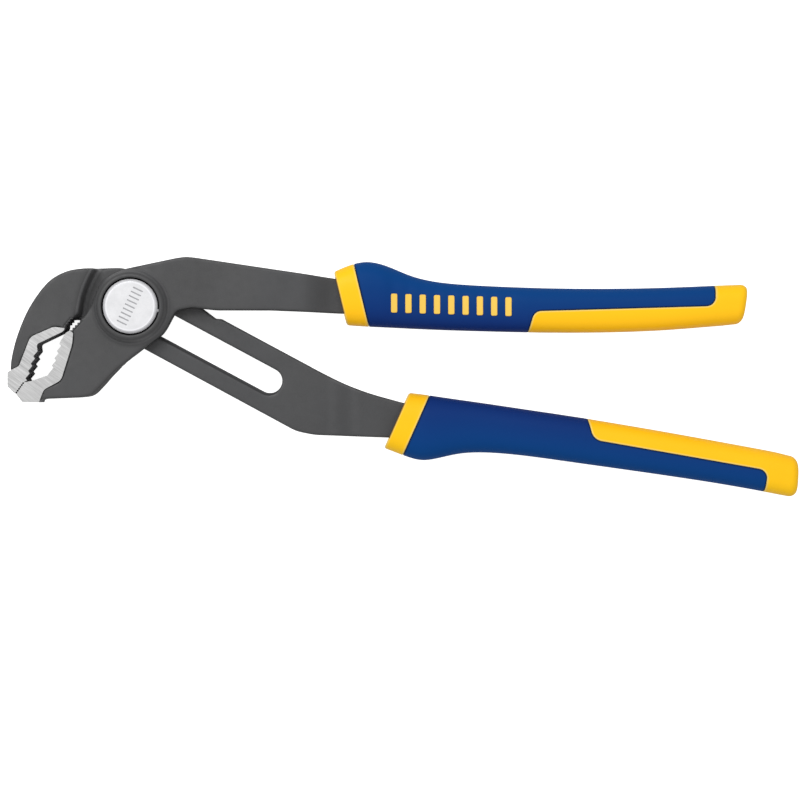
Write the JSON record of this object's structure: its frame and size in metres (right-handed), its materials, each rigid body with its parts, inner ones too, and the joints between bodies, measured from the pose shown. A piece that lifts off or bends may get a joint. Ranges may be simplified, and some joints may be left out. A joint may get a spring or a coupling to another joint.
{
  "type": "tongue and groove pliers",
  "caption": "Slip-joint water pump pliers with angled toothed jaws, a slotted arm that slides on a push-button pivot, and two-colour moulded handle grips.",
  "frame": {"origin": "on the pivot axis, in the flat rear face of the pivot pin's head, which is the plane that the tool lies on", "axes": "+X along the handles, away from the jaws; +Y across them, from the lower handle to the upper one; +Z along the pivot axis, towards the push button"},
  "size_m": [0.2498, 0.0755, 0.0166],
  "materials": {
    "forging": "satin black oxide on drop-forged steel, with bright ground pads at the teeth",
    "pin_steel": "ground",
    "spring_steel": "oiled",
    "button": "satin nickel plate",
    "grip_yellow": "fine moulded grain",
    "grip_blue": "fine moulded grain"
  },
  "bodies": {
    "front_half": {"front_forging": "forging", "upper_grip_sleeve": "grip_yellow", "upper_grip_cover": "grip_blue", "upper_grip_inlay": "grip_yellow", "upper_grip_bars": "grip_yellow"},
    "pivot": {"pivot_pin": "pin_steel", "thrust_washer": "pin_steel", "retaining_ring": "spring_steel", "return_spring": "spring_steel"},
    "rear_half": {"rear_forging": "forging", "lower_grip_sleeve": "grip_yellow", "lower_grip_cover": "grip_blue", "lower_grip_inlay": "grip_yellow"},
    "button": {"push_button": "button", "button_stem": "pin_steel", "lock_key": "pin_steel"}
  },
  "joints": [
    {"name": "jaw_pivot", "type": "hinge", "parent": "front_half", "child": "pivot", "pos_m": [0, 0, 0.008], "axis": [0, 0, -1], "range_deg": [0, 40]},
    {"name": "jaw_adjust", "type": "slide", "parent": "pivot", "child": "rear_half", "axis": [-0.8813, 0.4726, 0], "range_m": [0, 0.0432]},
    {"name": "button_press", "type": "slide", "parent": "pivot", "child": "button", "axis": [0, 0, -1], "range_m": [0, 0.0021], "stiffness_N_per_m": 2000, "springref_m": -0.001, "deforming": ["return_spring"]}
  ]
}
